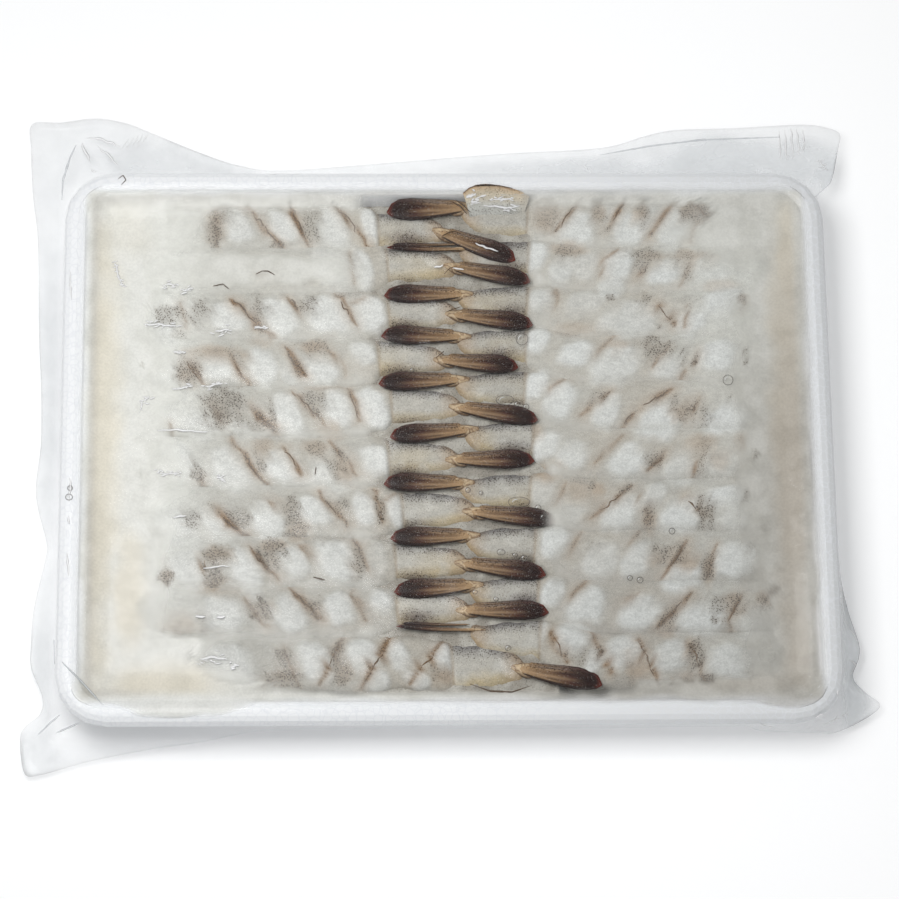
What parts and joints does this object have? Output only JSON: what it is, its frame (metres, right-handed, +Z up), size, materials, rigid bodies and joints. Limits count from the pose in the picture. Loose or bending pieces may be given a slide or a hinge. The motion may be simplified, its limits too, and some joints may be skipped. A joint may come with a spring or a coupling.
{
  "type": "nobashi shrimp tray pack",
  "caption": "Raw stretched shrimp with tails on, laid head to wall in interlocking columns and frozen in cloudy ice on a foam tray, in a clear vacuum bag with wavy ears.",
  "frame": {"origin": "middle of the tray's flat underside", "axes": "+X along the tray's length, from the shrimp whose heads lie left to those whose heads lie right; +Y towards the back row; +Z up out of the tray"},
  "size_m": [0.2729, 0.2235, 0.02],
  "materials": {
    "foam": "white expanded foam, softly grained",
    "film": "clear glossy film, finely creased",
    "ice": "cloudy frozen glaze",
    "shrimp": "moist raw flesh, pale grey white with brown speckle, dark brown tail fans"
  },
  "bodies": {
    "root": {"tray": "foam", "bag": "film", "ice": "ice", "shrimp_left_01": "shrimp", "shrimp_left_02": "shrimp", "shrimp_left_03": "shrimp", "shrimp_left_04": "shrimp", "shrimp_left_05": "shrimp", "shrimp_left_06": "shrimp", "shrimp_left_07": "shrimp", "shrimp_left_08": "shrimp", "shrimp_left_09": "shrimp", "shrimp_left_10": "shrimp", "shrimp_right_01": "shrimp", "shrimp_right_02": "shrimp", "shrimp_right_03": "shrimp", "shrimp_right_04": "shrimp", "shrimp_right_05": "shrimp", "shrimp_right_06": "shrimp", "shrimp_right_07": "shrimp", "shrimp_right_08": "shrimp", "shrimp_right_09": "shrimp", "shrimp_right_10": "shrimp"}
  },
  "joints": []
}
